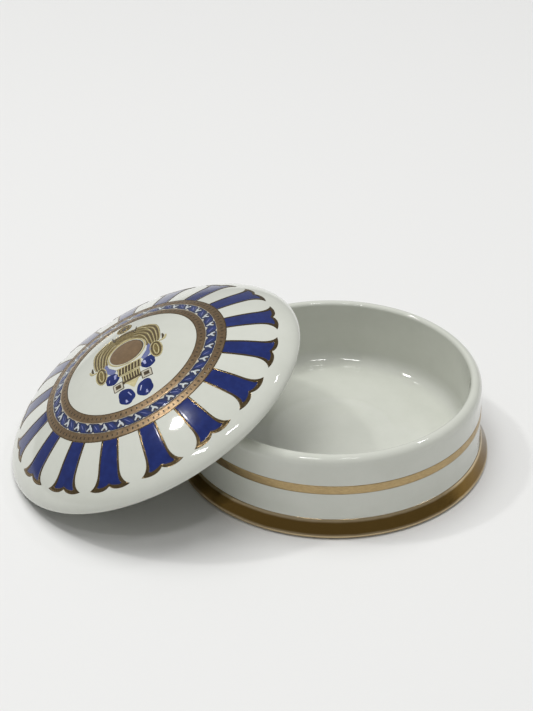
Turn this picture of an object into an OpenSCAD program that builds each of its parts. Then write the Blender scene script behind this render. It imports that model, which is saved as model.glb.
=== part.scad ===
// Porcelain trinket box: a round footed bowl and its domed lid, with fired gold and cobalt decoration.
// The origin is the centre of the bowl's foot, on the surface that it stands on, and +Z is up.
// The lid is off the bowl: it leans on the rim, with its low edge on the same surface.

/* [Bowl] */
// Height of the bowl, to the top of its rim
bowl_h = 28.2; // [24:0.1:34]
// Outer radius of the wall just below its rolled rim
rim_r = 48; // [47:0.1:48.2]
// Outer radius of the wall just above the foot
wall_r = 48.1; // [47.5:0.1:48.2]
// Thickness of the wall
wall_t = 3.7; // [3:0.1:4.2]
// How far in the outside of the rim rolls over
roll_r = 2.5; // [1.5:0.1:2.8]
// Height of that roll
roll_h = 3; // [1.5:0.1:4]
// Height of the floor inside
floor_z = 5.2; // [4.5:0.1:7]
// Radius of the curve between floor and wall
floor_curve = 5; // [2:0.5:8]
// Thickness of the floor
floor_t = 3; // [2:0.1:4]

/* [Foot] */
// Greatest radius of the foot
foot_r = 50.8; // [50:0.1:52]
// Height of the foot's shoulder, where it meets the wall
foot_h = 6.1; // [5:0.1:7]
// Radius of the foot's shoulder
shoulder_r = 48.4; // [48.3:0.1:49.5]
// Height at which the cove above the shoulder meets the wall
cove_top = 9.6; // [8:0.1:11]
// Inner radius of the ring that stands on the table
foot_ring_r = 44; // [40:0.5:46]

/* [Gilding and enamel] */
// Thickness of a fired layer
layer_t = 0.15; // [0.1:0.05:0.3]
// Height of the lower edge of the gold band round the wall
band_z = 15.2; // [12:0.1:18]
// Width of the gold band round the wall
band_w = 3.1; // [2:0.1:5]

/* [Lid] */
// Greatest radius of the lid
lid_r = 52.1; // [51:0.1:54]
// Height of the dome above the middle of the rounded edge
dome_h = 18.3; // [16:0.1:20]
// Radius of the rounding under the edge
edge_r = 1.45; // [1.2:0.05:1.8]
// Thickness of the dome
dome_t = 3; // [2.2:0.1:4]
// Height of the seat that sits on the bowl's rim
seat_z = 1.5; // [1:0.1:2.5]
// Outer radius of the seat, which centres the lid round the rim
seat_r = 48; // [47.6:0.1:48.6]
// Outer radius of the ring under the lid, which stays inside the rim
ring_r = 41; // [40.5:0.1:41]
// Thickness of that ring
ring_t = 2.4; // [2:0.1:3]
// Depth of that ring below the middle of the edge
ring_d = 6.7; // [5:0.1:6.7]

/* [Lean of the lid] */
// Angle that the lid leans at
lean = 26.35; // [26.35:0.01:26.35]
// Direction that the lid leans in, seen from above
lean_dir = 187.4; // [0:0.1:360]
// Distance from the bowl's axis to the middle of the lid
lean_out = 57.6; // [57.6:0.1:58.2]
// Turn of the lid's ornament about its own axis
lid_turn = 172.1; // [0:0.1:360]

/* [Lid ornament] */
// Number of flutes
flute_n = 16; // [8:1:20]
// Inner radius of the inner gold ring
gold_in = 23.1; // [22.8:0.1:24.5]
// Outer radius of the inner gold ring, where the leaf border begins
leaf_in = 26; // [25.5:0.1:26.4]
// Inner radius of the outer gold ring, where the leaf border ends
leaf_out = 29.5; // [29.1:0.1:30]
// Outer radius of the outer gold ring, where the flutes begin
gold_out = 32.4; // [31:0.1:33]
// Number of leaf motifs in the border
leaf_n = 30; // [16:2:36]
// Radius of the medallion in the middle ornament
disc_r = 6; // [5:0.1:6]

/* [Hidden] */
$fn = 96;

rim_top_r = rim_r - roll_r;
inner_r = rim_r - wall_t;
inner_round = rim_top_r - inner_r;
roll_z = bowl_h - roll_h;
foot_widest_z = 1.2;
foot_toe = 1.4;
flare_r = 49.6;
flare_z = 3.6;
gilt_toe_angle = -45;
toe_step = 15;
ornament_h = 30;
lid_steps = 26;
ornament_axis = 101.25;
flute_line = 0.7;
leaf_phase = 1.5;
// The printed decoration sits a little off the lid's own centre, as a transfer does
decal_x = 0.37;
decal_y = -1.94;

// Points of an ellipse's arc, from angle a to angle b in n steps
function arc(cx, cy, rx, ry, a, b, n) =
    [for (i = [0:n]) [cx + rx * cos(a + (b - a) * i / n), cy + ry * sin(a + (b - a) * i / n)]];

// Points of a quadratic curve from p to q that bends towards c, in n steps
function bend(p, c, q, n) =
    [for (i = [0:n]) let (s = i / n) (1 - s) * (1 - s) * p + 2 * s * (1 - s) * c + s * s * q];

function reversed(list) = [for (i = [len(list) - 1:-1:0]) list[i]];
function mirrored(list) = [for (p = reversed(list)) [p[0], -p[1]]];

// The foot flares from its shoulder to its widest radius, then tucks in to the table. The toe has a point
// every toe_step degrees wherever it starts, so that the gilding's points are the foot's own.
function flare(grow) =
    bend([foot_r + grow, foot_widest_z], [flare_r + grow, flare_z], [shoulder_r + grow, foot_h], 8);
function toe(grow, low) =
    arc(foot_r - foot_toe, foot_widest_z, foot_toe + grow, foot_widest_z + grow, low, 0,
        -low / toe_step);

// Outer radius of the wall at height z, between the cove and the rolled rim
function wall_at(z) = wall_r + (rim_r - wall_r) * (z - cove_top) / (roll_z - cove_top);

// Height of the dome over its edge: a shallow crown that rolls over to vertical at the edge
crown = 0.855;
crown_lift = -0.199;
roll = 1 - crown - crown_lift;
function dome_z(r) =
    let (t = min(r / lid_r, 1))
    dome_h * (1 - crown * pow(t, 2) - crown_lift * pow(t, 4) - roll * (1 - sqrt(1 - pow(t, 6))));
function dome_points(top, r_max) =
    [for (i = [0:lid_steps]) let (r = lid_r * sin(90 * i / lid_steps)) if (r <= r_max) [r, dome_z(r) + top]];

module bowl() {
    color("white") rotate_extrude() polygon(concat(
        [[0, floor_z - floor_t], [foot_ring_r, floor_z - floor_t], [foot_ring_r + 1, 0]],
        toe(0, -90),
        flare(0),
        arc(shoulder_r, cove_top, shoulder_r - wall_r, cove_top - foot_h, 270, 180, 8),
        arc(rim_top_r, roll_z, roll_r, roll_h, 0, 90, 8),
        arc(rim_top_r, bowl_h - inner_round, inner_round, inner_round, 90, 180, 6),
        arc(inner_r - floor_curve, floor_z + floor_curve, floor_curve, floor_curve, 0, -90, 8),
        [[0, floor_z]]));
}

module waist_gilt_band() {
    top = band_z + band_w;
    color("goldenrod") rotate_extrude() polygon([
        [wall_at(band_z), band_z], [wall_at(band_z) + layer_t, band_z],
        [wall_at(top) + layer_t, top], [wall_at(top), top]]);
}

module foot_gilding() {
    color("goldenrod") rotate_extrude() polygon(concat(
        toe(0, gilt_toe_angle), flare(0),
        reversed(flare(layer_t)), reversed(toe(layer_t, gilt_toe_angle))));
}

// Places what is built about the lid's own axis where the lid leans
module leaning() {
    low_edge = (lid_r - edge_r) * sin(lean) + edge_r;
    translate([lean_out * cos(lean_dir), lean_out * sin(lean_dir), low_edge])
        rotate([0, 0, lean_dir]) rotate([0, lean, 0]) rotate([0, 0, lid_turn]) children();
}

module lid() {
    inside_r = ring_r - ring_t;
    ring_end = ring_t / 2;
    color("white") leaning() rotate_extrude() polygon(concat(
        dome_points(0, lid_r),
        arc(lid_r - edge_r, 0, edge_r, edge_r, 0, -180, 10),
        [[seat_r, seat_z], [ring_r, seat_z]],
        arc(ring_r - ring_end, ring_end - ring_d, ring_end, ring_end, 0, -180, 8),
        reversed(dome_points(-dome_t, inside_r))));
}

// A thin layer on the dome, where the flat outline below it reaches up to it
module on_dome() {
    leaning() intersection() {
        rotate_extrude() polygon(concat(
            dome_points(0, lid_r * 0.99), reversed(dome_points(layer_t, lid_r * 0.99))));
        linear_extrude(height = ornament_h) translate([decal_x, decal_y]) children();
    }
}

module ring(inner, outer) {
    difference() {
        circle(r = outer);
        circle(r = inner);
    }
}

// Half of a flute's outline, from the gold ring out to its horn and in to the notch in its end. As it
// grows, the horn grows fastest, so that the gold line round the blue ends in a long point.
function horn(grow) = [45.7 + 0.7 * grow, 4.4 + 4 * grow];
function bump(grow) = [46.1 + 1.4 * grow, 3.1];
function flute_side(grow) = concat(
    [[gold_out - 0.4, 2.4 + grow], [41, 3.05 + grow]],
    bend([41, 3.05 + grow], [45.5, 3.2 + grow], horn(grow), 6),
    bend(horn(grow), [46.2 + 1.3 * grow, 3.8 + 2 * grow], bump(grow), 5),
    bend(bump(grow), [46.1 + 1.4 * grow, 1.2], [45.4 + 1.1 * grow, 0], 4));

module flute(grow) {
    polygon(concat(flute_side(grow), mirrored(flute_side(grow))));
}

module flutes(grow) {
    difference() {
        for (i = [0:flute_n - 1]) rotate((i + 0.5) * 360 / flute_n) flute(grow);
        circle(r = gold_out);
    }
}

// A three-pointed leaf in the border, pointing round the ring
leaf_mid = (leaf_in + leaf_out) / 2;
module leaf_motif() {
    polygon([[0, -1.1], [0.42, -0.1], [1.25, 0.75], [0.4, 0.5], [0, 1.2], [-0.4, 0.5], [-1.25, 0.75],
             [-0.42, -0.1]]);
}

module leaf_motif_ring() {
    for (i = [0:leaf_n - 1]) rotate(leaf_phase + i * 360 / leaf_n) translate([leaf_mid, 0]) leaf_motif();
}

module inner_gilt_ring() {
    color("darkgoldenrod") on_dome() ring(gold_in, leaf_in);
}

module outer_gilt_ring() {
    color("darkgoldenrod") on_dome() ring(leaf_out, gold_out);
}

module leaf_border() {
    color("mediumblue") on_dome() difference() {
        ring(leaf_in, leaf_out);
        leaf_motif_ring();
    }
}

module leaf_motifs() {
    color("white") on_dome() leaf_motif_ring();
}

module cobalt_flutes() {
    color("mediumblue") on_dome() flutes(0);
}

module flute_gilt_lines() {
    color("darkgoldenrod") on_dome() difference() {
        flutes(flute_line);
        flutes(0);
    }
}

// The middle ornament, drawn with its own up along +Y
module cartouche() {
    on_dome() rotate(ornament_axis - 90) children();
}

disc_y = 2.9;
frame_r = disc_r + 1.2;
knot_y = 19.7;
knot_r = 2.8;
knot_hole_r = 1.2;
module medallion_disc() {
    color("peru") cartouche() translate([0, disc_y]) circle(r = disc_r);
}

module medallion_frame() {
    color("goldenrod") cartouche() {
        translate([0, disc_y]) ring(disc_r, frame_r);
        translate([0, knot_y]) ring(knot_hole_r, knot_r);
    }
}

// One side's drapery: a crescent that leaves the medallion's shoulder and hangs beside it
module drapery_side() {
    polygon(concat(
        bend([1.2, 16], [12.6, 16.4], [12.2, 5.5], 8),
        bend([12.2, 5.5], [12.6, -2.5], [9.8, -5.8], 6),
        bend([9.8, -5.8], [8.2, -1.5], [8, 3.5], 6),
        bend([8, 3.5], [8.4, 10.2], [1.2, disc_y + frame_r + 0.6], 8)));
}

module scroll_drapery() {
    color("goldenrod") cartouche() {
        drapery_side();
        mirror([1, 0]) drapery_side();
    }
}

module cartouche_collars() {
    color("goldenrod") cartouche() {
        translate([0, -6.1]) square([8.2, 3.3], center = true);
        translate([0, -10.6]) square([6.4, 4.2], center = true);
        polygon([[-2.2, -13], [2.2, -13], [0, -16]]);
    }
}

// A rounded drop of radius r at x and -x
module drop_pair(x, y, r) {
    for (side = [-1, 1]) translate([side * x, y]) scale([1, 1.12]) circle(r = r);
}

module cobalt_drops() {
    color("mediumblue") cartouche() {
        drop_pair(6.6, -7, 2.3);
        drop_pair(3.3, -17.9, 2.9);
    }
}

bowl();
waist_gilt_band();
foot_gilding();
lid();
inner_gilt_ring();
outer_gilt_ring();
leaf_border();
leaf_motifs();
cobalt_flutes();
flute_gilt_lines();
medallion_disc();
medallion_frame();
scroll_drapery();
cartouche_collars();
cobalt_drops();
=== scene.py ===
"""A porcelain trinket box: a footed bowl and the domed lid that leans on its rim.

Every surface is worked out with numpy in millimetres and put into its mesh in metres. What lies on the
lid is drawn flat in the lid's own frame, lifted on to the dome, and then set at the lid's lean.
"""
import math
import bpy
import numpy as np
from mathutils import Matrix, Vector


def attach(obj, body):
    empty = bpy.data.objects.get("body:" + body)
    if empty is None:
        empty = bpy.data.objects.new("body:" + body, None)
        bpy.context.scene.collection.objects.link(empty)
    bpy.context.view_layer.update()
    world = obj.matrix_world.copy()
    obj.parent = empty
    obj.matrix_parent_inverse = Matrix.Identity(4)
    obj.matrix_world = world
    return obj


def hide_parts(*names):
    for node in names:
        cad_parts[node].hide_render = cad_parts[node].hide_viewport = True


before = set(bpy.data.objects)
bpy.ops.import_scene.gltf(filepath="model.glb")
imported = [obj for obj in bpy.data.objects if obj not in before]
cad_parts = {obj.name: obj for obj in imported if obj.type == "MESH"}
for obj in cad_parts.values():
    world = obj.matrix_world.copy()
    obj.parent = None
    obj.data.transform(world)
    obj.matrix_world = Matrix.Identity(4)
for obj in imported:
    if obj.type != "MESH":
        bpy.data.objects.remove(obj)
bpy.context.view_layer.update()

MM = 0.001
TAU = 2 * math.pi
SAME = 1e-6  # points closer than this are one point
TINY = 1e-9  # keeps a division off zero
TURN_STEPS = 300  # steps round a turned piece

# Bowl, in millimetres
BOWL_H = 28.2
RIM_R = 48.0
WALL_R = 48.1
WALL_T = 3.7
ROLL_R = 2.5
ROLL_H = 3.0
FLOOR_Z = 5.2
FLOOR_CURVE = 5.0
FLOOR_T = 3.0
FOOT_R = 50.8
FOOT_H = 6.1
SHOULDER_R = 48.4
COVE_TOP = 9.6
FOOT_RING_R = 44.0
FOOT_RING_STEP = 1.0
WIDEST_Z = 1.2
TOE = 1.4
FLARE = (49.6, 3.6)
GILT_TOE = math.radians(-45)  # where the gold starts on the toe's curve
WELL_R = 19.0
WELL_D = 0.25
WELL_EDGE = 0.7
RIDGE_OUT = 1.4
RIDGE_H = 0.12
RIDGE_W = 1.1
BAND_Z = 15.2
BAND_W = 3.1
GILT_T = 0.10
GILT_LIFT = 0.01
GILT_SINK = 0.1

# Lid, in millimetres and radians
LID_R = 52.1
LID_TRIM = 0.9996  # keeps the turned lid just inside its box
DOME_H = 18.3
EDGE_R = 1.45
DOME_T = 3.0
SEAT_Z = 1.5
SEAT_R = 48.0
RING_R = 41.0
RING_T = 2.4
RING_D = 6.7
FILLET_W = 1.5
FILLET_H = 1.2
CROWN = 0.855
CROWN_LIFT = -0.199
SLOPE_STEP = 0.01
LEAN = math.radians(26.35)
LEAN_DIR = math.radians(187.4)
LEAN_OUT = 57.6
LID_TURN = math.radians(172.1)

# Decoration on the lid, in millimetres from its own middle
GOLD_IN = 23.1
LEAF_IN = 26.0
LEAF_OUT = 29.5
GOLD_OUT = 32.4
LEAF_MID = (LEAF_IN + LEAF_OUT) / 2
FLUTES = 16
FLUTE_LINE = 0.7
FLUTE_UNDER = 0.04  # how far the blue runs under its gold line
HORN_AT = 28  # which point of flute_half is the horn
LEAVES = 30
LEAF_PHASE = math.radians(1.5)
ORNAMENT_TURN = math.radians(11.25)  # half of a flute's share of the circle
DISC_Y = 2.9
DISC_R = 6.0
KNOT_Y = 19.7
KNOT_R = 2.8
TASSEL = (9.8, -2.9)
TASSEL_W = 2.2
TASSEL_H = 4.4
UPPER_COLLAR = ((-4.2, 4.2), (-8.2, -4.3))
LOWER_COLLAR = ((-3.2, 3.2), (-12.7, -8.5))
PENDANT = ((2.2, -12.9), (1.2, -14.4), (0.1, -16.0))
SQUARE = ((3.9, 6.1), (-13.6, -11.6))
SQUARE_FRAME = ((3.3, 6.7), (-14.2, -11.0))
GEM_POINT = 0.30  # how far a drop is drawn out at its top, as a share of its radius
GEM_FACET = 0.035  # depth of its five slight facets, as a share of its radius
DECAL_X = 0.37  # how far the whole decoration sits from the lid's middle
DECAL_Y = -1.94
SINK = -0.05  # the underside of a fired layer, just below the glaze

# Floor, light and camera, in metres and watts unless it says mm
FLOOR_HALF = 4.0
PAPER = (0.78, 0.78, 0.77, 1)
SKY = 0.31
OVERHEAD = 19.5
OVERHEAD_FROM = (-0.12, 0.12, 1.2)
OVERHEAD_FAR = 1.8
OVERHEAD_SIZE = (1.2, 1.2)
WINDOW_FAR = 1.3
WINDOWS = (  # name, place it faces in mm, direction it comes from, size, power
    ("window", (-46.2, -45.5, 38.3), (-0.49, 0.157, 0.857), (0.11, 0.09), 2.6),
    ("lamp_front", (-38.8, -54.9, 34.1), (-0.174, -0.456, 0.873), (0.24, 0.08), 1.3),
    ("lamp_right", (-29.3, -49.4, 38.4), (0.164, -0.344, 0.924), (0.20, 0.06), 1.0),
    ("lamp_back", (-16.6, -31.8, 45.6), (0.496, 0.248, 0.832), (0.14, 0.06), 0.8))
LENS_MM = 101.27
SENSOR_MM = 36
SIGHT_END = 20
EYE = (0.0, -0.5411, 0.3770)
AIM = (-0.0234, 0.0549, 0.0)
EYE_ROLL = math.radians(-0.53)


# ---------------------------------------------------------------- shapes

def arc(cx, cy, rx, ry, a, b, n):
    """Points of an ellipse about (cx, cy) from angle a to b, in radians."""
    t = np.linspace(a, b, n)
    return np.stack([cx + rx * np.cos(t), cy + ry * np.sin(t)], 1)


def line(p, q, n):
    """n points on the straight line from p to q."""
    t = np.linspace(0, 1, n)[:, None]
    return np.asarray(p, float) * (1 - t) + np.asarray(q, float) * t


def bend(p, c, q, n):
    """A quadratic curve from p to q that bends towards c."""
    t = np.linspace(0, 1, n)[:, None]
    p, c, q = (np.asarray(v, float) for v in (p, c, q))
    return (1 - t) ** 2 * p + 2 * t * (1 - t) * c + t * t * q


def joined(*runs):
    """Runs of points end to end, leaving out each point that repeats the one before it."""
    pts = np.concatenate(runs)
    keep = np.r_[True, np.linalg.norm(np.diff(pts, axis=0), axis=1) > SAME]
    return pts[keep]


def resampled(pts, n):
    """The same outline as n points at equal steps of length."""
    step = np.r_[0, np.cumsum(np.linalg.norm(np.diff(pts, axis=0), axis=1))]
    at = np.linspace(0, step[-1], n)
    return np.stack([np.interp(at, step, pts[:, k]) for k in range(2)], 1)


def dome_z(r):
    """Dome height: a shallow crown, less a term that rolls over to vertical at the edge."""
    t = np.clip(np.abs(r) / LID_R, 0, 1)
    roll = 1 - CROWN - CROWN_LIFT
    return DOME_H * (1 - CROWN * t ** 2 - CROWN_LIFT * t ** 4 - roll * (1 - np.sqrt(1 - t ** 6)))


def lid_place(p):
    """Lid's own frame, mm, to the row's frame, metres: turn about the lid's axis, lean, and set down."""
    lean = Matrix.Rotation(LEAN_DIR, 3, "Z") @ Matrix.Rotation(LEAN, 3, "Y")
    turn = lean @ Matrix.Rotation(LID_TURN, 3, "Z")
    middle = np.array([LEAN_OUT * math.cos(LEAN_DIR), LEAN_OUT * math.sin(LEAN_DIR),
                       (LID_R - EDGE_R) * math.sin(LEAN) + EDGE_R])
    return (np.asarray(p) @ np.array(turn).T + middle) * MM


def on_dome(x, y, lift):
    """Points over (x, y) of the decoration, at height lift along the dome's own normal, in the row's frame.
    The decoration sits a little off the lid's own centre."""
    x, y = x + DECAL_X, y + DECAL_Y
    r = np.hypot(x, y)
    slope = (dome_z(r + SLOPE_STEP) - dome_z(np.maximum(r - SLOPE_STEP, 0))) / (2 * SLOPE_STEP)
    safe = np.maximum(r, TINY)
    normal = np.stack([-slope * x / safe, -slope * y / safe, np.ones_like(r)], -1)
    normal /= np.linalg.norm(normal, axis=-1, keepdims=True)
    return lid_place(np.stack([x, y, dome_z(r)], -1) + normal * np.asarray(lift)[..., None])


# ---------------------------------------------------------------- meshes

def add_mesh(name, points, faces, body, material, replaced=()):
    """One object from points in metres and a list of face arrays, each face's corners in a row."""
    mesh = bpy.data.meshes.new(name)
    counts = np.concatenate([np.full(len(f), f.shape[1]) for f in faces])
    corners = np.concatenate([f.ravel() for f in faces])
    points = np.asarray(points, np.float32).reshape(-1, 3)
    mesh.vertices.add(len(points))
    mesh.vertices.foreach_set("co", points.ravel())
    mesh.loops.add(len(corners))
    mesh.loops.foreach_set("vertex_index", corners.astype(np.int32))
    mesh.polygons.add(len(counts))
    mesh.polygons.foreach_set("loop_start", np.r_[0, np.cumsum(counts)[:-1]].astype(np.int32))
    mesh.polygons.foreach_set("loop_total", counts.astype(np.int32))
    mesh.update(calc_edges=True)
    mesh.validate()
    mesh.shade_smooth()
    mesh.materials.append(material)
    piece = bpy.data.objects.new(name, mesh)
    bpy.context.scene.collection.objects.link(piece)
    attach(piece, body)
    if replaced:
        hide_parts(*replaced)
    return piece


def quads(rows, cols, wrap_rows=False, wrap_cols=False, base=0):
    """Quads over a grid of rows by cols points, wrapped round on either way if asked."""
    i = np.arange(rows if wrap_rows else rows - 1)
    j = np.arange(cols if wrap_cols else cols - 1)
    i, j = np.meshgrid(i, j, indexing="ij")
    i2, j2 = (i + 1) % rows, (j + 1) % cols
    return base + np.stack([i * cols + j, i2 * cols + j, i2 * cols + j2, i * cols + j2], -1).reshape(-1, 4)


def lathe(profile):
    """A profile of (radius, height) turned about the axis. A profile that starts and ends on the axis closes
    with a point at each pole, and any other closes on itself."""
    n = TURN_STEPS
    poles = profile[0, 0] < SAME and profile[-1, 0] < SAME
    rings = profile[1:-1] if poles else profile
    t = np.linspace(0, TAU, n, endpoint=False)
    grid = np.stack([rings[:, None, 0] * np.cos(t), rings[:, None, 0] * np.sin(t),
                     np.repeat(rings[:, None, 1], n, 1)], -1)
    faces = [quads(len(rings), n, wrap_rows=not poles, wrap_cols=True)[:, ::-1]]
    points = grid.reshape(-1, 3)
    if poles:
        first, last = len(points), len(points) + 1
        j = np.arange(n)
        k = (j + 1) % n
        top = (len(rings) - 1) * n
        faces.append(np.stack([np.full(n, first), k, j], 1))
        faces.append(np.stack([np.full(n, last), top + j, top + k], 1))
        ends = [[0, 0, profile[0, 1]], [0, 0, profile[-1, 1]]]
        points = np.concatenate([points, ends])
    return points, faces


def sheets(x, y, lift):
    """Closed thin solids on the dome. x, y and lift are (count, rows, cols): a top sheet at lift, a bottom
    sheet just under the glaze, and a wall round the edge."""
    count, rows, cols = x.shape
    top = on_dome(x, y, lift)
    bottom = on_dome(x, y, np.full_like(lift, SINK))
    points = np.concatenate([top.reshape(count, -1, 3), bottom.reshape(count, -1, 3)], 1)
    size = rows * cols
    index = np.arange(size).reshape(rows, cols)
    rim = np.concatenate([index[0, :-1], index[:-1, -1], index[-1, :0:-1], index[:0:-1, 0]])
    nxt = np.roll(rim, -1)
    one = quads(rows, cols)
    wall = np.stack([rim, rim + size, nxt + size, nxt], 1)
    shape = np.concatenate([one, one[:, ::-1] + size, wall])
    base = np.arange(count)[:, None, None] * 2 * size
    return points.reshape(-1, 3), [(shape[None] + base).reshape(-1, 4)]


def outward(points, faces):
    """The same faces, turned round if the solid they close has negative volume."""
    volume = 0.0
    for f in faces:
        a, b, c = (points[f[:, k]] for k in (0, 1, 2))
        volume += np.einsum("ij,ij->i", a, np.cross(b, c)).sum()
        if f.shape[1] == 4:
            d = points[f[:, 3]]
            volume += np.einsum("ij,ij->i", a, np.cross(c, d)).sum()
    return faces if volume > 0 else [f[:, ::-1] for f in faces]


def merged(parts):
    """Several (points, faces) as one."""
    points, faces, base = [], [], 0
    for pts, fcs in parts:
        fcs = outward(pts, fcs)
        points.append(pts)
        faces += [f + base for f in fcs]
        base += len(pts)
    return np.concatenate(points), faces


def lid_piece(name, slot, material, replaced, *parts):
    """A piece on the lid from one or more (points, faces) in the row's frame."""
    points, faces = merged(parts)
    return add_mesh(name, points, faces, "lid", material, replaced)


def rounded(rows, cols, height, edge):
    """Lift over a grid: height in the middle, falling in a quarter round to the surface at its border."""
    u = np.minimum(np.linspace(0, 1, rows), np.linspace(1, 0, rows))[:, None]
    v = np.minimum(np.linspace(0, 1, cols), np.linspace(1, 0, cols))[None]
    d = np.clip(np.minimum(u, v) / edge, 0, 1)
    return height * np.sqrt(1 - (1 - d) ** 2)


def coons(bottom, top, left, right):
    """A grid between four edge curves: left and right rise from bottom's ends to top's ends."""
    n, m = len(left), len(bottom)
    v = np.linspace(0, 1, n)[:, None, None]
    u = np.linspace(0, 1, m)[None, :, None]
    ruled = (1 - v) * bottom[None] + v * top[None] + (1 - u) * left[:, None] + u * right[:, None]
    corner = ((1 - u) * (1 - v) * bottom[0] + u * (1 - v) * bottom[-1]
              + (1 - u) * v * top[0] + u * v * top[-1])
    return ruled - corner


def turned(xy, angles):
    """Copies of a drawing turned about the middle by each angle: (count, ..., 2)."""
    angles = np.asarray(angles).reshape(-1, *[1] * (xy.ndim - 1))
    x, y = xy[None, ..., 0], xy[None, ..., 1]
    c, s = np.cos(angles), np.sin(angles)
    return np.stack([x * c - y * s, x * s + y * c], -1)


def blob(radius_at, middle, n, height, power=2.0):
    """A closed raised spot. A square grid is bent to a disc, and each direction is stretched to
    radius_at(angle). Its top is height * (1 - rho ** power) ** 0.5."""
    u = np.linspace(-1, 1, n)
    u, v = np.meshgrid(u, u, indexing="ij")
    x, y = u * np.sqrt(1 - v * v / 2), v * np.sqrt(1 - u * u / 2)
    rho, angle = np.hypot(x, y), np.arctan2(y, x)
    r = rho * radius_at(angle)
    lift = height * np.sqrt(np.clip(1 - rho ** power, 0, 1))
    xy = np.stack([middle[0] + r * np.cos(angle), middle[1] + r * np.sin(angle)], -1)
    return xy, lift


def strokes(paths, widths, height, sides=8):
    """Closed raised lines. paths is (count, n, 2) and widths (count, n) half widths. Each cross-section is a
    flat oval: width * cos across and height * sin up, with its lower half just under the glaze."""
    count, n, _ = paths.shape
    along = np.gradient(paths, axis=1)
    along /= np.maximum(np.linalg.norm(along, axis=-1, keepdims=True), TINY)
    across = np.stack([-along[..., 1], along[..., 0]], -1)
    phi = np.linspace(0, TAU, sides, endpoint=False)
    xy = paths[:, :, None] + across[:, :, None] * (widths[..., None] * np.cos(phi))[..., None]
    up = np.where(np.sin(phi) > 0, np.sin(phi) * height, -np.sin(phi) * SINK)
    share = np.clip(widths / np.maximum(widths.max(1, keepdims=True), TINY), 0.15, 1)
    lift = np.broadcast_to(up, xy.shape[:-1]) * np.sqrt(share)[..., None]
    points = on_dome(xy[..., 0], xy[..., 1], lift).reshape(-1, 3)
    body = quads(n, sides, wrap_cols=True)
    base = np.arange(count)[:, None, None] * n * sides
    caps = np.stack([np.arange(sides)[::-1], (n - 1) * sides + np.arange(sides)])
    faces = [(body[None] + base).reshape(-1, 4), (caps[None] + base).reshape(-1, sides)]
    return points, faces


def ring_on_dome(inner, outer, height, n=512, m=12):
    """A closed flat ring between two radii, with rounded edges: n points round and m across."""
    t = np.linspace(0, TAU, n, endpoint=False)[:, None]
    s = np.linspace(0, 1, m)[None]
    r = inner + (outer - inner) * s
    d = np.clip(np.minimum(s, 1 - s) / 0.12, 0, 1)
    lift = height * np.sqrt(1 - (1 - d) ** 2) + 0 * t
    x, y = r * np.cos(t), r * np.sin(t)
    top = on_dome(x, y, lift)
    bottom = on_dome(x[:, ::-1], y[:, ::-1], np.full_like(lift, SINK))
    points = np.concatenate([top, bottom], 1)
    return points.reshape(-1, 3), [quads(n, 2 * m, wrap_rows=True, wrap_cols=True)]


# ---------------------------------------------------------------- materials

def new_material(name):
    """An empty node material with its shader: returns the material, its nodes, its links and the shader."""
    material = bpy.data.materials.new(name)
    material.use_nodes = True
    nodes, links = material.node_tree.nodes, material.node_tree.links
    return material, nodes, links, nodes["Principled BSDF"]


def noise(nodes, links, scale, detail=3.0, rough=0.5, stretch=None):
    """Noise over Object coordinates, which are metres on the piece itself."""
    where = nodes.new("ShaderNodeTexCoord")
    out = where.outputs["Object"]
    if stretch:
        mapping = nodes.new("ShaderNodeMapping")
        mapping.inputs["Scale"].default_value = stretch
        links.new(out, mapping.inputs["Vector"])
        out = mapping.outputs["Vector"]
    tex = nodes.new("ShaderNodeTexNoise")
    tex.inputs["Scale"].default_value = scale
    tex.inputs["Detail"].default_value = detail
    tex.inputs["Roughness"].default_value = rough
    links.new(out, tex.inputs["Vector"])
    return tex.outputs["Fac"]


def ramp(nodes, links, value, stops):
    """A colour ramp over value, from (place, colour) stops."""
    node = nodes.new("ShaderNodeValToRGB")
    while len(node.color_ramp.elements) < len(stops):
        node.color_ramp.elements.new(0.5)
    for element, (place, colour) in zip(node.color_ramp.elements, stops):
        element.position = place
        element.color = (*colour, 1)
    links.new(value, node.inputs["Fac"])
    return node.outputs["Color"]


def spread(nodes, links, value, low, high):
    """The middle of a noise value's range, 0.3 to 0.7, mapped to low..high."""
    node = nodes.new("ShaderNodeMapRange")
    node.inputs["From Min"].default_value = 0.3
    node.inputs["From Max"].default_value = 0.7
    node.inputs["To Min"].default_value = low
    node.inputs["To Max"].default_value = high
    links.new(value, node.inputs["Value"])
    return node.outputs["Result"]


def bumped(nodes, links, shader, value, strength, distance):
    """Surface bump of value on shader."""
    node = nodes.new("ShaderNodeBump")
    node.inputs["Strength"].default_value = strength
    node.inputs["Distance"].default_value = distance
    links.new(value, node.inputs["Height"])
    links.new(node.outputs["Normal"], shader.inputs["Normal"])


def glaze(name, dark, light, roughness=0.06):
    """Clear glossy glaze over fired clay: faint clouds of tone and a slow orange-peel in the surface."""
    material, nodes, links, shader = new_material(name)
    clouds = noise(nodes, links, scale=55, detail=8, rough=0.7)
    links.new(ramp(nodes, links, clouds, [(0.3, dark), (0.7, light)]), shader.inputs["Base Color"])
    shader.inputs["Roughness"].default_value = roughness
    shader.inputs["IOR"].default_value = 1.52
    shader.inputs["Coat Weight"].default_value = 0.5
    shader.inputs["Coat Roughness"].default_value = 0.03
    peel = noise(nodes, links, scale=260, detail=2, rough=0.5)
    bumped(nodes, links, shader, peel, strength=0.05, distance=0.0002)
    return material


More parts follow.
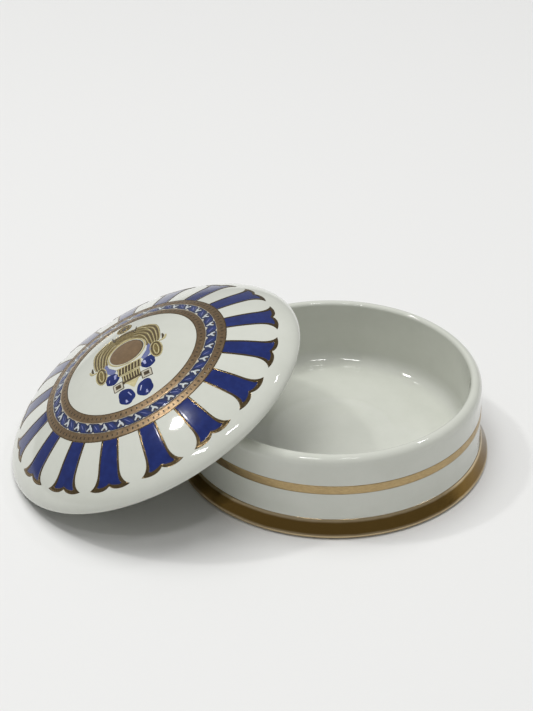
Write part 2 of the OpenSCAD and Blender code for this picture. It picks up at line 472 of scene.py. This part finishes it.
def gilding(name, dark, light, low, high, grain, stretch=None):
    """Fired gold: tone and polish vary finely, as brushed liquid gold does."""
    material, nodes, links, shader = new_material(name)
    grains = noise(nodes, links, grain, detail=4, rough=0.65, stretch=stretch)
    links.new(ramp(nodes, links, grains, [(0.3, dark), (0.7, light)]), shader.inputs["Base Color"])
    shader.inputs["Metallic"].default_value = 1.0
    links.new(spread(nodes, links, noise(nodes, links, grain * 0.4), low, high), shader.inputs["Roughness"])
    bumped(nodes, links, shader, grains, strength=0.06, distance=0.0001)
    return material


def enamel(name, dark, mid, light, roughness=0.16):
    """Coloured enamel fired over the glaze: mottled in depth of colour, with a clear gloss."""
    material, nodes, links, shader = new_material(name)
    mottle = noise(nodes, links, scale=420, detail=5, rough=0.6)
    links.new(ramp(nodes, links, mottle, [(0.28, dark), (0.5, mid), (0.74, light)]),
              shader.inputs["Base Color"])
    shader.inputs["Roughness"].default_value = roughness
    shader.inputs["Specular IOR Level"].default_value = 0.35
    shader.inputs["Coat Weight"].default_value = 0.3
    shader.inputs["Coat Roughness"].default_value = 0.04
    bumped(nodes, links, shader, noise(nodes, links, scale=700), strength=0.05, distance=0.0001)
    return material


def foot_gilding(name, dark, light):
    """Gold fired over the foot, with a painted reflection in its colour: deep brown in the middle of the
    flare, standing in for dark surroundings mirrored there, and paler towards its two edges as painted
    highlight lines.
    The tone follows the height on the piece in metres, from low to high, and wanders by up to drift."""
    material, nodes, links, shader = new_material(name)
    where = nodes.new("ShaderNodeTexCoord")
    height = nodes.new("ShaderNodeSeparateXYZ")
    links.new(where.outputs["Object"], height.inputs["Vector"])
    low, high, drift = 0.0005, 0.0068, 0.0004
    wander = nodes.new("ShaderNodeMath")
    wander.operation = "MULTIPLY_ADD"
    wander.inputs[1].default_value = drift
    links.new(noise(nodes, links, scale=180), wander.inputs[0])
    links.new(height.outputs["Z"], wander.inputs[2])
    share = nodes.new("ShaderNodeMapRange")
    share.inputs["From Min"].default_value = low
    share.inputs["From Max"].default_value = high
    links.new(wander.outputs[0], share.inputs["Value"])
    # painted reflection: a dark middle of the flare, with painted highlight bands at its two edges
    stops = [(0.0, light), (0.17, light), (0.26, dark), (0.74, dark), (0.82, light), (1.0, light)]
    links.new(ramp(nodes, links, share.outputs["Result"], stops), shader.inputs["Base Color"])
    shader.inputs["Metallic"].default_value = 1.0
    polish = spread(nodes, links, noise(nodes, links, scale=240), low=0.10, high=0.2)
    links.new(polish, shader.inputs["Roughness"])
    brushed = noise(nodes, links, scale=600, detail=4, rough=0.6)
    bumped(nodes, links, shader, brushed, strength=0.05, distance=0.0001)
    return material


porcelain = glaze("porcelain", (0.585, 0.600, 0.535), (0.635, 0.648, 0.585))
wall_gold = gilding("wall_gold", (0.34, 0.245, 0.12), (0.52, 0.385, 0.20),
                     low=0.28, high=0.42, grain=700, stretch=(1, 1, 8))
# the foot's gold carries a painted reflection: dark brown in the middle of the flare, pale highlight bands
# at its edges
foot_gold_painted_reflection = foot_gilding("foot_gold_painted_reflection", (0.20, 0.12, 0.032), (0.56, 0.44, 0.27))
ring_gold = gilding("ring_gold", (0.29, 0.20, 0.115), (0.50, 0.355, 0.215),
                     low=0.28, high=0.44, grain=1200)
line_gold = gilding("line_gold", (0.12, 0.085, 0.042), (0.26, 0.185, 0.095),
                     low=0.16, high=0.3, grain=1500)
cord_gold = gilding("cord_gold", (0.34, 0.26, 0.10), (0.68, 0.53, 0.24),
                     low=0.3, high=0.45, grain=1500)
cobalt = enamel("cobalt", (0.004, 0.012, 0.090), (0.006, 0.017, 0.118), (0.010, 0.024, 0.150))
leaf_blue = enamel("leaf_blue", (0.010, 0.020, 0.085), (0.018, 0.032, 0.13), (0.035, 0.052, 0.18))
leaf_shade = enamel("leaf_shade", (0.012, 0.018, 0.05), (0.02, 0.028, 0.075), (0.03, 0.04, 0.10))
leaf_vein = enamel("leaf_vein", (0.10, 0.12, 0.26), (0.14, 0.16, 0.32), (0.20, 0.22, 0.38))
drop_glint = enamel("drop_glint", (0.22, 0.24, 0.46), (0.34, 0.36, 0.58), (0.52, 0.54, 0.70))
# a pale non-metal for the gold lines of the print, with their highlight painted into its colour
straw_painted_highlight = enamel("straw_painted_highlight", (0.36, 0.31, 0.15), (0.48, 0.42, 0.22), (0.62, 0.56, 0.33), roughness=0.3)
white_enamel = enamel("white_enamel", (0.42, 0.46, 0.47), (0.50, 0.53, 0.53), (0.60, 0.63, 0.62),
                      roughness=0.2)
cream = enamel("cream", (0.40, 0.38, 0.30), (0.50, 0.47, 0.38), (0.60, 0.57, 0.47), roughness=0.25)
bronze = enamel("bronze", (0.13, 0.085, 0.042), (0.165, 0.105, 0.052), (0.20, 0.13, 0.066), roughness=0.35)
dark_brown = enamel("dark_brown", (0.035, 0.024, 0.012), (0.06, 0.042, 0.02), (0.09, 0.062, 0.03),
                    roughness=0.3)


# ---------------------------------------------------------------- bowl

def wall_at(z):
    """Outer radius of the wall at height z, between the cove and the rolled rim."""
    return WALL_R + (RIM_R - WALL_R) * (z - COVE_TOP) / (BOWL_H - ROLL_H - COVE_TOP)


def foot_outline(grow, low):
    """The foot: its toe from angle low out to the widest radius, then a flare in to the shoulder."""
    toe = arc(FOOT_R - TOE, WIDEST_Z, TOE + grow, WIDEST_Z + grow, low, 0, 14)
    middle = [FLARE[0] + grow, FLARE[1]]
    return joined(toe, bend([FOOT_R + grow, WIDEST_Z], middle, [SHOULDER_R + grow, FOOT_H], 26))


def bowl_piece():
    """The bowl's section: base, foot, cove, straight wall, rolled rim, inner wall, curve and floor, with a
    shallow well turned in the middle of the floor."""
    top_r, inner = RIM_R - ROLL_R, RIM_R - WALL_T
    inside = top_r - inner
    base = FLOOR_Z - FLOOR_T
    r = np.linspace(inner - FLOOR_CURVE, 0, 60)
    well = FLOOR_Z - WELL_D / (1 + np.exp((r - WELL_R) / WELL_EDGE))
    well += RIDGE_H * np.exp(-((r - WELL_R - RIDGE_OUT) / RIDGE_W) ** 2)
    section = joined(
        line([0, base], [FOOT_RING_R, base], 10),
        line([FOOT_RING_R, base], [FOOT_RING_R + FOOT_RING_STEP, 0.0], 5),
        line([FOOT_RING_R + FOOT_RING_STEP, 0.0], [FOOT_R - TOE, 0.0], 5),
        foot_outline(0, -math.pi / 2),
        arc(SHOULDER_R, COVE_TOP, SHOULDER_R - WALL_R, COVE_TOP - FOOT_H, 1.5 * math.pi, math.pi, 12),
        line([WALL_R, COVE_TOP], [RIM_R, BOWL_H - ROLL_H], 14),
        arc(top_r, BOWL_H - ROLL_H, ROLL_R, ROLL_H, 0, math.pi / 2, 20),
        arc(top_r, BOWL_H - inside, inside, inside, math.pi / 2, math.pi, 14),
        line([inner, BOWL_H - inside], [inner, FLOOR_Z + FLOOR_CURVE], 10),
        arc(inner - FLOOR_CURVE, FLOOR_Z + FLOOR_CURVE, FLOOR_CURVE, FLOOR_CURVE, 0, -math.pi / 2, 16),
        np.stack([r, well], 1))
    points, faces = lathe(section)
    return add_mesh("bowl_porcelain", points * MM, outward(points, faces), "bowl", porcelain,
                    ["bowl"])


def waist_band():
    """A gold band round the wall, a low cushion in section."""
    z = np.linspace(BAND_Z, BAND_Z + BAND_W, 14)
    s = np.linspace(-1, 1, 14)
    outer = np.stack([wall_at(z) + GILT_T * (1 - s ** 6) + GILT_LIFT, z], 1)
    inner = np.stack([wall_at(z) - GILT_SINK, z], 1)[::-1]
    points, faces = lathe(np.concatenate([outer, inner]))
    return add_mesh("waist_band_gold", points * MM, outward(points, faces), "bowl", wall_gold,
                    ["waist_gilt_band"])


def foot_band():
    """Gold over the whole flare of the foot."""
    outer, inner = foot_outline(GILT_T, GILT_TOE), foot_outline(-GILT_SINK, GILT_TOE)
    section = np.concatenate([outer, inner[::-1]])
    points, faces = lathe(section)
    # the foot gold's colour is a painted reflection and painted highlights, set by height
    return add_mesh("foot_gold_painted_reflection", points * MM, outward(points, faces), "bowl", foot_gold_painted_reflection,
                    ["foot_gilding"])


# ---------------------------------------------------------------- lid

def lid_shell():
    """The lid's section: dome, rounded edge, seat, inner ring and the hollow under the dome."""
    r = LID_R * np.sin(np.linspace(0, math.pi / 2, 90))
    inside = RING_R - RING_T
    end = RING_T / 2
    roof = dome_z(inside) - DOME_T
    under = r[r <= inside][::-1]
    section = joined(
        np.stack([r, dome_z(r)], 1),
        arc(LID_R - EDGE_R, 0, EDGE_R, EDGE_R, 0, -math.pi, 20),
        line([LID_R - 2 * EDGE_R, 0], [SEAT_R, SEAT_Z], 4),
        line([SEAT_R, SEAT_Z], [RING_R, SEAT_Z], 6),
        line([RING_R, SEAT_Z], [RING_R, end - RING_D], 6),
        arc(RING_R - end, end - RING_D, end, end, 0, -math.pi, 12),
        line([inside, end - RING_D], [inside, roof - FILLET_H], 6),
        bend([inside, roof - FILLET_H], [inside, roof],
             [inside - FILLET_W, dome_z(inside - FILLET_W) - DOME_T], 6),
        np.stack([under, dome_z(under) - DOME_T], 1)[under < inside - FILLET_W])
    points, faces = lathe(section * [LID_TRIM, 1])
    points = lid_place(points)
    return add_mesh("lid_porcelain", points, outward(points, faces), "lid", porcelain, ["lid"])


def flute_half(grow):
    """Half of a flute's outline along +X, from the gold ring out to its horn and in to the notch in its end.
    As it grows the horn grows fastest, so the gold line round the blue ends in a long point."""
    root = [GOLD_OUT - 0.3, 2.4 + grow]
    neck = [41, 3.05 + grow]
    horn = [45.7 + 0.7 * grow, 4.4 + 4 * grow]
    bump = [46.1 + 1.4 * grow, 3.1]
    notch = [45.4 + 1.1 * grow, 0]
    return np.concatenate([
        line(root, neck, 14),
        bend(neck, [45.5, 3.2 + grow], horn, 16)[1:],
        bend(horn, [46.2 + 1.3 * grow, 3.8 + 2 * grow], bump, 12)[1:],
        bend(bump, [46.1 + 1.4 * grow, 1.2], notch, 12)[1:]])


def whole(half):
    """Half of an outline, then its mirror image across the X axis back again."""
    return np.concatenate([half, (half * [1, -1])[-2::-1]])


def flute_pieces():
    """The cobalt flutes, each a grid between its edges, and the gold strip drawn round each."""
    angles = (np.arange(FLUTES) + 0.5) * TAU / FLUTES
    blue = flute_half(FLUTE_UNDER)
    side = resampled(blue[:HORN_AT + 1], 36)
    end = whole(resampled(blue[HORN_AT:], 12))
    root = line(side[0], side[0] * [1, -1], len(end))
    xy = turned(coons(root, end, side, side * [1, -1]), angles)
    lift = np.broadcast_to(rounded(len(side), len(end), height=0.06, edge=0.1), xy.shape[:-1])
    lid_piece("flutes_cobalt", "cobalt", cobalt, ["cobalt_flutes"], sheets(xy[..., 0], xy[..., 1], lift))
    inner, outer = whole(flute_half(0)), whole(flute_half(FLUTE_LINE))
    across = np.linspace(0, 1, 6)
    strip = inner[:, None] + (outer - inner)[:, None] * across[None, :, None]
    xy = turned(strip, angles)
    lift = 0.10 * np.sqrt(1 - (2 * across - 1) ** 4)
    lid_piece("flute_lines_gold", "lid_gold", line_gold, ["flute_gilt_lines"],
              sheets(xy[..., 0], xy[..., 1], np.broadcast_to(lift, xy.shape[:-1])))


def dashes(radius, count, long, wide, height):
    """A row of short raised dashes across a ring, each long by wide."""
    i = np.linspace(-0.5, 0.5, 6)
    x, y = np.meshgrid(radius + long * i, wide * i, indexing="ij")
    xy = turned(np.stack([x, y], -1), np.arange(count) * TAU / count)
    lift = np.broadcast_to(rounded(6, 6, height, edge=0.2), xy.shape[:-1])
    return sheets(xy[..., 0], xy[..., 1], lift)


def ring_pieces():
    """The two gold rings, a darker line along their edges, and a row of dashes worked into each."""
    lid_piece("inner_ring_gold", "lid_gold", ring_gold, ["inner_gilt_ring"],
              ring_on_dome(GOLD_IN, LEAF_IN, height=0.08))
    lid_piece("outer_ring_gold", "lid_gold", ring_gold, ["outer_gilt_ring"],
              ring_on_dome(LEAF_OUT, GOLD_OUT, height=0.08))
    lid_piece("ring_edges", "lid_gold", line_gold, [],
              ring_on_dome(GOLD_IN, GOLD_IN + 0.32, height=0.11, m=6),
              ring_on_dome(GOLD_OUT - 0.34, GOLD_OUT, height=0.11, m=6))
    lid_piece("ring_dashes", "lid_gold", dark_brown, [],
              dashes(radius=24.6, count=84, long=1.1, wide=0.75, height=0.11),
              dashes(radius=31.0, count=108, long=1.2, wide=0.8, height=0.11))
    lid_piece("ring_cream_lines", "white_enamel", cream, [],
              ring_on_dome(LEAF_IN, LEAF_IN + 0.14, height=0.09, m=5),
              ring_on_dome(LEAF_OUT - 0.1, LEAF_OUT, height=0.09, m=5))


def round_the_border(pts):
    """A drawing in (mm along the border, mm out from its middle) bent round the border, one copy a motif."""
    a = pts[..., 0] / LEAF_MID
    r = LEAF_MID + pts[..., 1]
    bent = np.stack([r * np.cos(a), r * np.sin(a)], -1)
    return turned(bent, LEAF_PHASE + np.arange(LEAVES) * TAU / LEAVES)


def border_patches(left, right, height, rows=14, cols=5):
    """A raised patch in each motif, ruled from one curve to the other."""
    left, right = resampled(np.asarray(left, float), rows), resampled(np.asarray(right, float), rows)
    v = np.linspace(0, 1, cols)[None, :, None]
    xy = round_the_border(left[:, None] * (1 - v) + right[:, None] * v)
    lift = np.broadcast_to(rounded(rows, cols, height, edge=0.3), xy.shape[:-1])
    return sheets(xy[..., 0], xy[..., 1], lift)


def leaf_pieces():
    """The border between the rings: a dark ground, a slanting blue leaf with a pale vein in each motif, a
    white sprig with two arms and a dark seed between them, and cream points along both edges."""
    lid_piece("border_ground", "cobalt", leaf_shade, ["leaf_border"],
              ring_on_dome(LEAF_IN, LEAF_OUT, height=0.03))
    low, high = LEAF_IN - LEAF_MID, LEAF_OUT - LEAF_MID
    left = bend([0.35, low + 0.35], [1.1, -0.1], [2.2, high - 0.2], 14)
    right = bend([2.7, low + 0.35], [4.3, -0.3], [4.9, high - 0.25], 14)
    lid_piece("border_leaves", "cobalt", leaf_blue, [], border_patches(left, right, height=0.07))
    vein = bend([1.2, low + 0.75], [2.4, -0.2], [3.5, high - 0.8], 12)
    widths = np.repeat(0.20 * np.sin(np.linspace(0.35, 2.8, 12))[None], LEAVES, 0)
    lid_piece("border_veins", "cobalt", leaf_vein, [], strokes(round_the_border(vein), widths, height=0.10))
    arms = [(bend([-0.55, low + 0.55], [-0.2, -0.5], [0.0, -0.05], 8), (0.28, 0.46)),
            (bend([0.0, -0.15], [-0.55, 0.2], [-0.95, 0.95], 8), (0.44, 0.30)),
            (bend([0.0, -0.15], [0.75, 0.2], [0.90, 1.15], 8), (0.46, 0.28))]
    sprigs = []
    for path, ends in arms:
        widths = np.repeat(np.linspace(*ends, 8)[None], LEAVES, 0)
        sprigs.append(strokes(round_the_border(path), widths, height=0.12))
    lid_piece("leaf_sprigs_white", "white_enamel", white_enamel, ["leaf_motifs"], *sprigs)
    seed = blob(lambda a: 0.42, (0, 0), n=7, height=0.09)
    seeds = round_the_border(seed[0] + [0.0, 0.95])
    lid_piece("border_seeds", "cobalt", dark_brown, [],
              sheets(seeds[..., 0], seeds[..., 1], np.broadcast_to(seed[1], seeds.shape[:-1])))
    inner = ([[2.7, low], [3.6, low + 0.10], [4.9, low]],
             [[2.7, low + 0.06], [4.2, low + 0.85], [4.9, low + 0.10]])
    outer = ([[1.2, high], [1.8, high], [2.5, high]],
             [[1.2, high - 0.06], [1.7, high - 0.55], [2.5, high - 0.1]])
    lid_piece("border_points", "white_enamel", cream, [],
              border_patches(*inner, height=0.10, rows=12, cols=4),
              border_patches(*outer, height=0.10, rows=12, cols=4))


# ---------------------------------------------------------------- middle ornament

def in_middle(xy):
    """The middle ornament's drawing, whose up is +Y, turned to its place on the lid."""
    return turned(np.asarray(xy, float), [ORNAMENT_TURN])[0]


def spots(*drawn):
    """Raised spots and patches of the middle ornament as (points, faces) each."""
    parts = []
    for xy, lift in drawn:
        xy = in_middle(xy)[None]
        parts.append(sheets(xy[..., 0], xy[..., 1], lift[None]))
    return parts


def lines(drawn, height):
    """Raised lines of the middle ornament: each is (points, half width at the start, middle and end)."""
    parts = []
    for pts, widths in drawn:
        path = resampled(np.asarray(pts, float), 40)
        width = np.interp(np.linspace(0, 1, 40), np.linspace(0, 1, len(widths)), widths)
        parts.append(strokes(in_middle(path)[None], width[None], height))
    return parts


def both(pts):
    """A drawing and its mirror image."""
    pts = np.asarray(pts, float)
    return [pts, pts * [-1, 1]]


def ruled(left, right, height, rows=20, cols=9, edge=0.25):
    """A raised patch of the middle ornament, ruled from one curve to the other."""
    left, right = resampled(np.asarray(left, float), rows), resampled(np.asarray(right, float), rows)
    v = np.linspace(0, 1, cols)[None, :, None]
    return left[:, None] * (1 - v) + right[:, None] * v, rounded(rows, cols, height, edge)


def panel(place, height, rows, cols, edge=0.25):
    """A raised rectangle of the middle ornament. place is its two x and its two y."""
    (x0, x1), (y0, y1) = place
    return ruled([[x0, y0], [x0, y1]], [[x1, y0], [x1, y1]], height, rows, cols, edge)


def mirrored(*drawn):
    """Patches or spots of the middle ornament, each with its mirror image."""
    return [(xy * [side, 1], lift) for xy, lift in drawn for side in (1, -1)]


def pairs(*drawn):
    """Lines of the middle ornament, each with its mirror image."""
    return [(side, widths) for pts, widths in drawn for side in both(pts)]


def medallion():
    """A bronze disc with a darker edge in a frame of pale straw enamel, gold lines with a painted highlight
    in their colour, an olive line round it, and a knot above it.
    """
    disc = blob(lambda a: DISC_R, (0, DISC_Y), n=41, height=0.08, power=8)
    lid_piece("medallion_bronze", "bronze_enamel", bronze, ["medallion_disc"], *spots(disc))
    shade = arc(0, DISC_Y, DISC_R - 0.2, DISC_R - 0.2, -1.2, 1.3, 40)
    lid_piece("medallion_shade", "bronze_enamel", dark_brown, [],
              *lines([(shade, [0.1, 0.3, 0.1])], height=0.11))
    ring = arc(0, DISC_Y, DISC_R + 0.55, DISC_R + 0.55, -0.5 * math.pi, 1.5 * math.pi, 60)
    crescent = arc(0, DISC_Y, DISC_R + 1.25, DISC_R + 1.25, 0.34 * math.pi, 0.66 * math.pi, 30)
    frames = [(ring, [0.32, 0.32]), (crescent, [0.15, 0.38, 0.15])]
    # frame lines in straw enamel: gold with a painted highlight in its colour
    lid_piece("medallion_frame_gold", "ornament_gold", straw_painted_highlight, ["medallion_frame"],
              *lines(frames, height=0.13))
    collar = arc(0, DISC_Y, DISC_R + 1.5, DISC_R + 1.5, -0.08 * math.pi, 1.08 * math.pi, 50)
    lid_piece("medallion_surround", "ornament_gold", cord_gold, [],
              *lines([(collar, [0.5, 0.75, 0.5])], height=0.09))
    knot = arc(0, KNOT_Y, KNOT_R - 0.45, KNOT_R - 0.45, 0, TAU, 40)
    loop = bend([0.2, KNOT_Y - 1.9], [2.0, KNOT_Y - 0.2], [0.5, KNOT_Y + 1.6], 16)
    loops = [(knot, [0.45, 0.45])] + pairs((loop, [0.25, 0.35, 0.2]))
    lid_piece("knot_gold", "ornament_gold", cord_gold, [], *lines(loops, height=0.13))
    fill = blob(lambda a: KNOT_R - 0.5, (0, KNOT_Y), n=15, height=0.05)
    lid_piece("knot_shade", "ornament_gold", dark_brown, [], *spots(fill))


def oval(angle, wide, high):
    """Distance from the middle of an ellipse to its edge, at an angle."""
    return 1 / np.sqrt((np.cos(angle) / wide) ** 2 + (np.sin(angle) / high) ** 2)


def drapery():
    """Olive drapery on both sides: a filled crescent with folds over it, a hanging loop and a curl, and the
    dark arch that joins the two over the medallion."""
    outer = joined(bend([4.2, 16.0], [8.4, 15.4], [11.0, 12.4], 12),
                   bend([11.0, 12.4], [12.3, 10.6], [12.1, 5.0], 12),
                   bend([12.1, 5.0], [12.1, 3.0], [11.4, 1.4], 8))
    inner = joined(bend([3.0, 10.6], [6.0, 9.6], [7.0, 5.0], 12),
                   bend([7.0, 5.0], [7.5, 2.0], [8.0, 0.4], 12))
    body = ruled(inner, outer, height=0.08, rows=36, cols=13, edge=0.15)
    tassel = blob(lambda a: oval(a, TASSEL_W, TASSEL_H), TASSEL, n=21, height=0.08, power=4)
    crown = ruled([[-3.2, 10.3], [0, 10.9], [3.2, 10.3]], [[-4.0, 15.6], [0, 16.3], [4.0, 15.6]],
                  height=0.08, rows=20, cols=13)
    lid_piece("drapery_gold", "ornament_gold", cord_gold, ["scroll_drapery"],
              *spots(*mirrored(body), crown))
    lid_piece("tassel_gold", "ornament_gold", cord_gold, [], *spots(*mirrored(tassel)))
    inner, outer = resampled(inner, 40), resampled(outer, 40)
    folds = [(inner * (1 - f) + outer * f, [0.1, 0.2, 0.14]) for f in (0.05, 0.28, 0.50, 0.72, 0.94)]
    folds += [(arc(*TASSEL, w, h, 0, TAU, 40), [0.2, 0.2]) for w, h in ((2.0, 4.2), (0.8, 2.8))]
    folds += [(bend([11.2, 0.8], [13.4, 0.6], [13.7, 3.2], 12), [0.3, 0.5, 0.3]),
              (bend([4.0, 15.8], [8.6, 13.0], [9.4, 7.4], 14), [0.15, 0.25, 0.1])]
    # folds and tassel loops in pale straw enamel: gold lines with a painted highlight in their colour
    lid_piece("drapery_folds", "ornament_gold", straw_painted_highlight, [], *lines(pairs(*folds), height=0.12))
    shades = [(inner * (1 - f) + outer * f, [0.1, 0.26, 0.16]) for f in (0.16, 0.39, 0.61, 0.83)]
    shades += [(arc(*TASSEL, 1.4, 3.5, 0, TAU, 40), [0.2, 0.2]),
               (bend([12.3, 1.6], [13.0, 2.6], [12.6, 4.4], 12), [0.2, 0.45, 0.25]),
               (bend([3.5, 13.2], [4.3, 14.6], [4.4, 17.0], 12), [0.35, 0.4, 0.15])]
    arch = bend([-4.0, 13.9], [0, 16.3], [4.0, 13.9], 20)
    lid_piece("drapery_shades", "ornament_gold", dark_brown, [],
              *lines(pairs(*shades) + [(arch, [0.5, 0.6, 0.5])], height=0.13))


def collars():
    """Two collars under the medallion, each a dark ground with slanting ribs, and a pointed pendant."""
    upper = panel(UPPER_COLLAR, height=0.05, rows=10, cols=15)
    lower = panel(LOWER_COLLAR, height=0.05, rows=10, cols=13)
    lid_piece("collar_ground", "ornament_gold", dark_brown, ["cartouche_collars"], *spots(upper, lower))
    ribs = [(line([x - 0.3, -7.9], [x + 0.2, -4.6], 6), [0.2, 0.22]) for x in np.linspace(-3.9, 3.9, 8)]
    ribs += [(line([x, -11.6], [x + 0.1, -9.0], 6), [0.18, 0.24]) for x in np.linspace(-2.8, 2.8, 7)]
    for y, wide in ((-4.4, 4.3), (-8.0, 4.0), (-8.7, 3.3), (-12.6, 2.6)):
        ribs.append((bend([-wide, y], [0, y - 0.4], [wide, y], 16), [0.22, 0.32, 0.22]))
    # ribs in pale straw enamel: gold lines with a painted highlight in their colour
    lid_piece("collar_ribs", "ornament_gold", straw_painted_highlight, [], *lines(ribs, height=0.12))
    right, left = both(PENDANT)
    pendant = ruled(left, right, height=0.1, rows=12, cols=9)
    # the pendant is straw enamel too, gold with a painted highlight in its colour
    lid_piece("pendant_gold", "ornament_gold", straw_painted_highlight, [], *spots(pendant))


def gem(middle, wide, high, lean):
    """A drop: round below and drawn to a soft point above, leaning by an angle."""
    def radius(a):
        b = a - lean
        point = 1 + GEM_POINT * np.clip(np.sin(b), 0, 1) ** 4
        return oval(b, wide, high) * point * (1 + GEM_FACET * np.cos(5 * b))
    return blob(radius, middle, n=25, height=0.13, power=2.6)


def gems():
    """Blue drops beside and under the collars with pale glints on them, pale violet wedges beside the
    medallion, and the framed squares that the lower pair hangs from."""
    drops = mirrored(gem((6.3, -7.9), 2.4, 2.5, -0.45), gem((3.15, -18.5), 2.8, 3.0, -0.3))
    wedge = ruled([[7.6, 2.8], [6.6, -1.4], [4.4, -4.3]], [[8.5, 1.6], [8.5, -2.8], [5.4, -6.2]],
                  height=0.07, rows=14, cols=7)
    lid_piece("drops_cobalt", "cobalt", cobalt, ["cobalt_drops"], *spots(*drops))
    lid_piece("wedges_cobalt", "cobalt", leaf_vein, [], *spots(*mirrored(wedge)))
    glints = [([[4.3, -6.2], [4.8, -8.8]], [[5.9, -5.9], [6.1, -9.2]]),
              ([[7.0, -6.8], [7.4, -9.0]], [[7.4, -7.0], [7.9, -8.8]]),
              ([[2.2, -16.4], [1.1, -19.2]], [[2.9, -16.4], [1.7, -19.2]]),
              ([[3.5, -19.0], [2.6, -20.9]], [[3.9, -19.0], [4.3, -20.9]])]
    glints = [ruled(*sides, height=0.145, rows=8, cols=5, edge=0.4) for sides in glints]
    lid_piece("drop_glints", "cobalt", drop_glint, [], *spots(*mirrored(*glints)))
    square = panel(SQUARE, height=0.14, rows=9, cols=9, edge=0.12)
    frame_patch = panel(SQUARE_FRAME, height=0.09, rows=11, cols=11, edge=0.15)
    lid_piece("square_frames", "white_enamel", cream, [], *spots(*mirrored(frame_patch)))
    lid_piece("square_fills", "bronze_enamel", dark_brown, [], *spots(*mirrored(square)))
    (x0, x1), (y0, y1) = SQUARE_FRAME
    edge = [[x0, y0], [x1, y0], [x1, y1], [x0, y1], [x0, y0]]
    lid_piece("square_edges", "ornament_gold", dark_brown, [],
              *lines(pairs((edge, [0.16, 0.16])), height=0.11))


bowl_piece()
waist_band()
foot_band()
lid_shell()
ring_pieces()
leaf_pieces()
flute_pieces()
medallion()
drapery()
collars()
gems()


# ---------------------------------------------------------------- stage, light and camera

def look_along(obj, place, aim, roll=0.0):
    """Puts obj at place, facing aim, turned about its own line of sight by roll."""
    way = (Vector(aim) - Vector(place)).normalized()
    turn = way.to_track_quat("-Z", "Y").to_matrix().to_4x4()
    obj.matrix_world = Matrix.Translation(place) @ turn @ Matrix.Rotation(roll, 4, "Z")


def floor():
    """A plain pale sheet that the box stands on."""
    mesh = bpy.data.meshes.new("floor")
    half = FLOOR_HALF
    corners = [(-half, -half, 0), (half, -half, 0), (half, half, 0), (-half, half, 0)]
    mesh.from_pydata(corners, [], [(0, 1, 2, 3)])
    material, _, _, shader = new_material("floor_paper")
    shader.inputs["Base Color"].default_value = PAPER
    shader.inputs["Roughness"].default_value = 0.9
    mesh.materials.append(material)
    sheet = bpy.data.objects.new("floor", mesh)
    bpy.context.scene.collection.objects.link(sheet)


def area_light(name, at, direction, distance, size, power, mirrored_in_glaze=True):
    """A soft rectangular light, facing the point at (mm) from a direction and a distance."""
    data = bpy.data.lights.new(name, "AREA")
    data.shape = "RECTANGLE"
    data.size, data.size_y = size
    data.energy = power
    lamp = bpy.data.objects.new(name, data)
    bpy.context.scene.collection.objects.link(lamp)
    at = Vector(at) * MM
    look_along(lamp, at + Vector(direction).normalized() * distance, at)
    lamp.visible_glossy = mirrored_in_glaze


def studio():
    """Dim plain surroundings, a broad soft light overhead, and four small bright windows to be mirrored."""
    world = bpy.data.worlds.new("studio")
    bpy.context.scene.world = world
    world.use_nodes = True
    back = world.node_tree.nodes["Background"]
    back.inputs["Color"].default_value = (1.0, 1.0, 1.0, 1)
    back.inputs["Strength"].default_value = SKY
    area_light("overhead", (0, 0, 0), OVERHEAD_FROM, OVERHEAD_FAR, OVERHEAD_SIZE, OVERHEAD, False)
    for name, at, direction, size, power in WINDOWS:
        area_light(name, at, direction, WINDOW_FAR, size, power)


def camera():
    """A long lens, looking down at the box from the front."""
    data = bpy.data.cameras.new("camera")
    data.lens = LENS_MM
    data.sensor_width = SENSOR_MM
    data.clip_end = SIGHT_END
    eye = bpy.data.objects.new("camera", data)
    bpy.context.scene.collection.objects.link(eye)
    look_along(eye, EYE, AIM, EYE_ROLL)
    bpy.context.scene.camera = eye


floor()
studio()
camera()
bpy.context.scene.view_settings.view_transform = "Standard"
